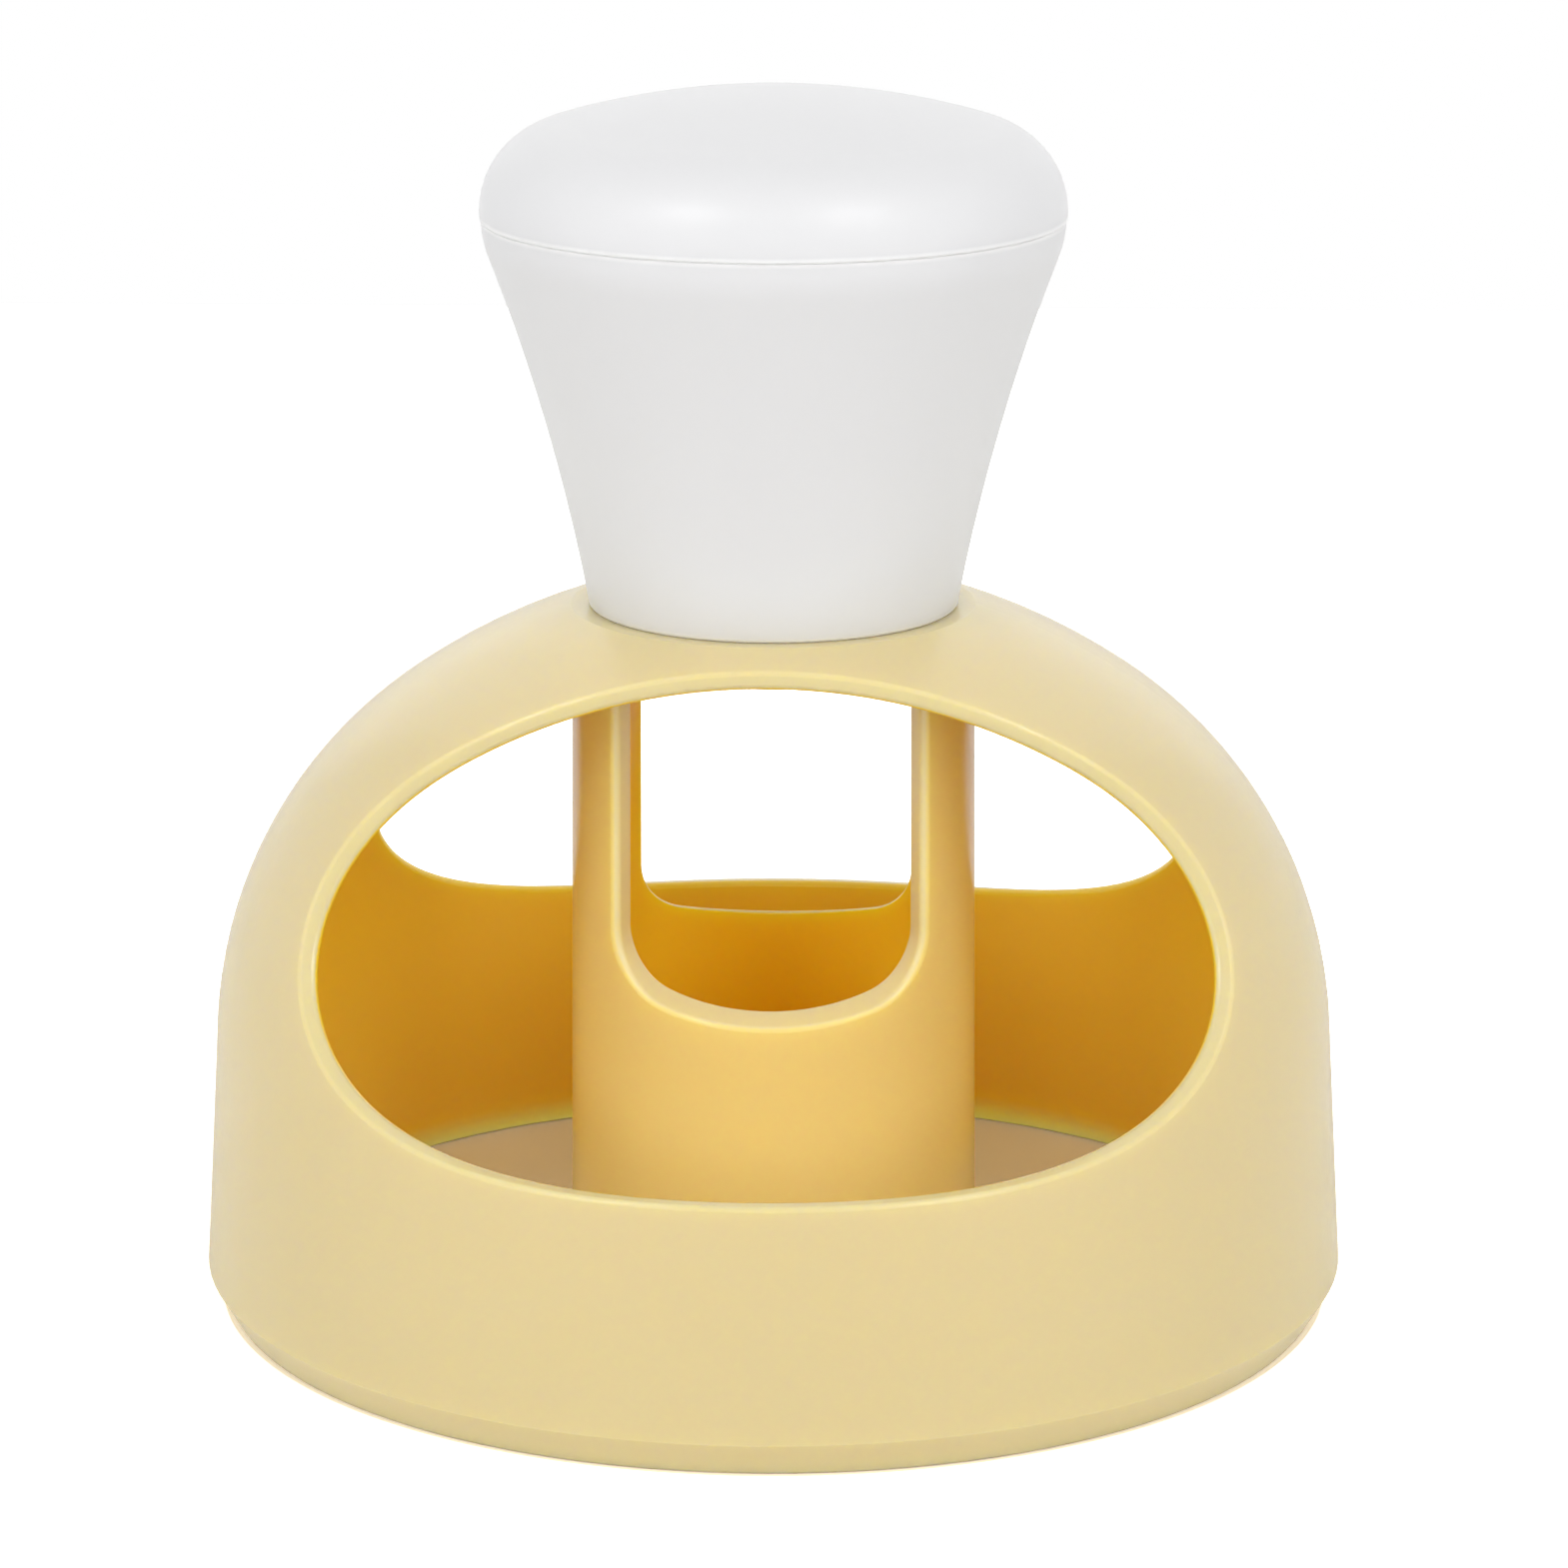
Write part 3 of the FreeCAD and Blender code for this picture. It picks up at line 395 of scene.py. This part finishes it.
# Polypropylene, moulded: creamy yellow outside, paled by a painted sheen, with painted amber light and
# shade inside and painted highlights on the rims
RING_YELLOW = TranslucentPlastic(
    name="pale_yellow_polypropylene_moulded_gloss",
    colour="#D1C291", painted_rim_highlight="#D0C496", painted_hollow_amber="#ECC63B", axes=(1.0, 1.0, 1.0),
    rim_from=0.85, rim_to=0.5, painted_hollow_from=0.1, painted_hollow_to=-0.4, edge_mm=2.0,
    ior=1.54, scatter=1.0, scatter_mm=(2.8, 2.3, 0.7), skin=GLOSS_MOULD,
)
# The same plastic in the tube, painted warmer outside for the amber light of the ring that falls on it,
# with painted highlights on the window rims and painted amber light and shade in the bore
TUBE_YELLOW_PAINTED_AMBER = TranslucentPlastic(
    name="warm_yellow_polypropylene_moulded_gloss",
    colour="#EFD88A", painted_rim_highlight="#E4D5A1", painted_hollow_amber="#FFD030", axes=(1.0, 1.0, 0.0),
    rim_from=0.9, rim_to=0.6, painted_hollow_from=-0.78, painted_hollow_to=-0.95, edge_mm=2.0,
    ior=1.5, scatter=1.0, scatter_mm=(2.0, 1.85, 0.5), skin=GLOSS_MOULD,
)
# ABS, moulded: a plain cool white without any pattern to the eye, with painted light in the grooves at the
# seam and the foot
WHITE = OpaquePlastic(
    name="white_abs_moulded_satin", colour="#DCDCDD", shade="#DADADB", shade_mm=25.0,
    painted_groove_light="#FFFFFF", painted_groove_light_mm=0.4,
    ior=1.48, scatter=1.0, scatter_mm=(0.9, 0.9, 0.9), skin=SATIN_MOULD,
)
# Steel, zinc plated: a dull silver
STEEL = PlatedSteel(
    name="zinc_plated_steel", colour="#B9BBBE", shade="#A4A7AB", roughness=0.34, grain_mm=0.15
)


def dress(node: bpy.types.Object, material: bpy.types.Material) -> None:
    """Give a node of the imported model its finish, in every slot.

    Args:
        node: The node's object.
        material: Its finish.
    """
    for index in range(len(node.material_slots)):
        node.material_slots[index].material = material
    LOG.info("%s: %s", node.name, material.name)


@dataclass
class Cutter:
    """Ring with its bridge, and the centre tube, moulded in the same yellow plastic."""

    slot: str = "yellow_plastic"

    def build(self, nodes: dict[str, bpy.types.Object]) -> None:
        """Dress the ring and the tube."""
        dress(nodes["cutter_body"], RING_YELLOW.build())
        dress(nodes["centre_cutter"], TUBE_YELLOW_PAINTED_AMBER.build())


@dataclass
class Knob:
    """White flared grip, its cap and the screw under the cap."""

    slot: str = "white_plastic"
    screw_slot: str = "steel"

    def build(self, nodes: dict[str, bpy.types.Object]) -> None:
        """Dress the grip, the cap and the screw."""
        low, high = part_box("knob_body")
        material = WHITE.build(low.z, high.z)
        for name in ("knob_body", "knob_cap"):
            dress(nodes[name], material)
        dress(nodes["knob_screw"], STEEL.build())


@dataclass(frozen=True)
class Softbox:
    """A square lamp that looks at the object.

    Its share is the part of a white surface's level that it gives when the surface faces it. Only a
    lamp that shows is seen in the gloss. Angles are in degrees, azimuth from the front to the right.
    """

    name: str
    azimuth: float
    elevation: float
    side: float
    share: float
    shows: bool
    distance: float = 0.9

    def pair(self) -> tuple["Softbox", "Softbox"]:
        """Give two lamps, a mirror image of this one on the left and this one on the right."""
        left = replace(self, name=f"{self.name}_left", azimuth=-self.azimuth)
        return left, replace(self, name=f"{self.name}_right")


@dataclass
class Studio:
    """White floor under a white sky, with softboxes all round the object.

    The floor lights the object in its own colour. The camera alone sees it at other levels: white outside
    the ring, and within the ring lower, with a painted amber tint for the light of the yellow plastic.
    """

    floor_side: float = 0.8
    floor_drop_mm: float = 0.05
    floor_colour: str = "#F4F4F4"
    floor_shown: tuple[float, float, float, float] = (1.8, 1.8, 1.8, 1.0)
    # Painted amber tint that the camera sees on the floor within the ring
    floor_within_painted_amber: tuple[float, float, float, float] = (1.15, 1.04, 0.9, 1.0)
    ring_inset_mm: float = 1.0
    sky: float = 0.1
    sky_shown: float = 1.0
    aim: tuple[float, float, float] = (0.0, 0.0, 0.045)
    softboxes: tuple[Softbox, ...] = (
        Softbox("front", azimuth=0.0, elevation=17.0, side=0.5, share=0.2, shows=False),
        *Softbox("fill", azimuth=34.0, elevation=20.0, side=0.35, share=0.2, shows=False).pair(),
        *Softbox("main", azimuth=37.0, elevation=41.0, side=0.26, share=0.195, shows=True).pair(),
        Softbox("above", azimuth=0.0, elevation=65.0, side=0.5, share=0.13, shows=False),
        *Softbox("side", azimuth=95.0, elevation=22.0, side=0.5, share=0.25, shows=False).pair(),
        *Softbox("back", azimuth=150.0, elevation=20.0, side=0.6, share=0.24, shows=False).pair(),
        Softbox("back", azimuth=180.0, elevation=38.0, side=1.2, share=0.17, shows=True),
        Softbox("back_fill", azimuth=180.0, elevation=38.0, side=1.2, share=0.19, shows=False),
    )

    def build(self) -> None:
        """Lay the floor, light the sky and hang the lamps."""
        self.lay_floor()
        self.light_sky()
        for box in self.softboxes:
            self.hang(box)

    def lay_floor(self) -> None:
        """Lay a floor that the camera sees as white outside the ring and with a painted amber tint within
        it, just clear of the cutting edges.
        """
        bpy.ops.object.select_all(action="DESELECT")
        bpy.ops.mesh.primitive_plane_add(
            size=self.floor_side, location=(0.0, 0.0, -self.floor_drop_mm * MM)
        )
        floor = bpy.context.object
        floor.name = "floor"
        material = new_material("floor_white_paper")
        tree = material.node_tree
        seen = add_node(tree, "ShaderNodeLightPath").outputs["Is Camera Ray"]
        place = add_node(tree, "ShaderNodeTexCoord").outputs[Coordinates.OBJECT.value]
        radial = add_node(tree, "ShaderNodeVectorMath", {"operation": "LENGTH"}, place)
        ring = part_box("cutter_body")[1].x - self.ring_inset_mm * MM
        outside = add_node(
            tree, "ShaderNodeMath", {"operation": "GREATER_THAN"}, radial.outputs["Value"], ring
        )
        # Painted amber tint within the ring, white outside it, for camera rays alone
        shown = add_node(
            tree, "ShaderNodeMix", {"data_type": "RGBA"}, factor=outside.outputs["Value"],
            a=self.floor_within_painted_amber, b=self.floor_shown,
        )
        colour = add_node(
            tree, "ShaderNodeMix", {"data_type": "RGBA"}, factor=seen,
            a=linear(self.floor_colour), b=shown.outputs["Result"],
        )
        paper = add_node(tree, "ShaderNodeBsdfDiffuse", color=colour.outputs["Result"])
        add_node(tree, "ShaderNodeOutputMaterial", surface=paper.outputs["BSDF"])
        floor.data.materials.append(material)

    def add_seen_directly(self, tree: bpy.types.NodeTree) -> bpy.types.NodeSocket:
        """Add nodes that give 1 to rays of the camera, a reflection or a clear piece, 0 to others."""
        path = add_node(tree, "ShaderNodeLightPath").outputs
        both = add_node(
            tree, "ShaderNodeMath", {"operation": "MAXIMUM"}, path["Is Camera Ray"], path["Is Glossy Ray"]
        )
        every = add_node(
            tree, "ShaderNodeMath", {"operation": "MAXIMUM"},
            both.outputs["Value"], path["Is Transmission Ray"],
        )
        return every.outputs["Value"]

    def light_sky(self) -> None:
        """Light the scene evenly from all round, with a white that shows behind the object."""
        world = bpy.data.worlds.new("white_sky")
        bpy.context.scene.world = world
        world.use_nodes = True
        tree = world.node_tree
        tree.nodes.clear()
        level = add_node(
            tree, "ShaderNodeMix", {"data_type": "FLOAT"},
            factor=self.add_seen_directly(tree), a=self.sky, b=self.sky_shown,
        )
        sky = add_node(
            tree, "ShaderNodeBackground", color=linear("#FFFFFF"), strength=level.outputs["Result"]
        )
        add_node(tree, "ShaderNodeOutputWorld", surface=sky.outputs["Background"])

    def hang(self, box: Softbox) -> None:
        """Hang a softbox and turn it to the object.

        Args:
            box: The lamp's name, place, side and brightness.
        """
        lamp = bpy.data.lights.new(box.name, "AREA")
        lamp.shape = "SQUARE"
        lamp.size = box.side
        lamp.energy = box.share * (pi * box.distance) ** 2
        holder = bpy.data.objects.new(box.name, lamp)
        holder.visible_glossy = box.shows
        bpy.context.scene.collection.objects.link(holder)
        turn = radians(box.azimuth)
        lift = radians(box.elevation)
        away = Vector((sin(turn) * cos(lift), -cos(turn) * cos(lift), sin(lift)))
        holder.location = Vector(self.aim) + away * box.distance
        holder.rotation_euler = away.to_track_quat("Z", "Y").to_euler()


@dataclass
class Viewpoint:
    """The camera: in front of the object, a little to its right, looking down at it.

    Lengths are in metres, angles in degrees, and the sensor's width in millimetres. The focal length
    and the column of the lens axis are in pixels of the whole frame.
    """

    reach: float = 0.375678
    height: float = 0.134584
    azimuth: float = 1.6
    pitch: float = 14.72
    focal_pixels: float = 5582.06
    axis_pixel: float = 774.0
    sensor: float = 36.0
    nearest: float = 0.01

    def build(self) -> None:
        """Place the camera and make it the scene's own."""
        data = bpy.data.cameras.new("camera")
        data.sensor_width = self.sensor
        data.lens = self.focal_pixels * self.sensor / FRAME_PIXELS
        data.shift_x = (FRAME_PIXELS / 2 - self.axis_pixel) / FRAME_PIXELS
        data.clip_start = self.nearest
        camera = bpy.data.objects.new("camera", data)
        turn = radians(self.azimuth)
        camera.location = (self.reach * sin(turn), -self.reach * cos(turn), self.height)
        camera.rotation_euler = Euler((radians(90 - self.pitch), 0.0, turn))
        bpy.context.scene.collection.objects.link(camera)
        bpy.context.scene.camera = camera


def main() -> None:
    """Load the frame, dress its pieces and set up the studio and the camera."""
    logging.basicConfig(level=logging.INFO, format="%(name)s: %(message)s")
    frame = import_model()
    bpy.context.scene.view_settings.view_transform = "Standard"
    Viewpoint().build()
    Cutter().build(frame["nodes"])
    Knob().build(frame["nodes"])
    Studio().build()


if __name__ == "__main__":
    main()
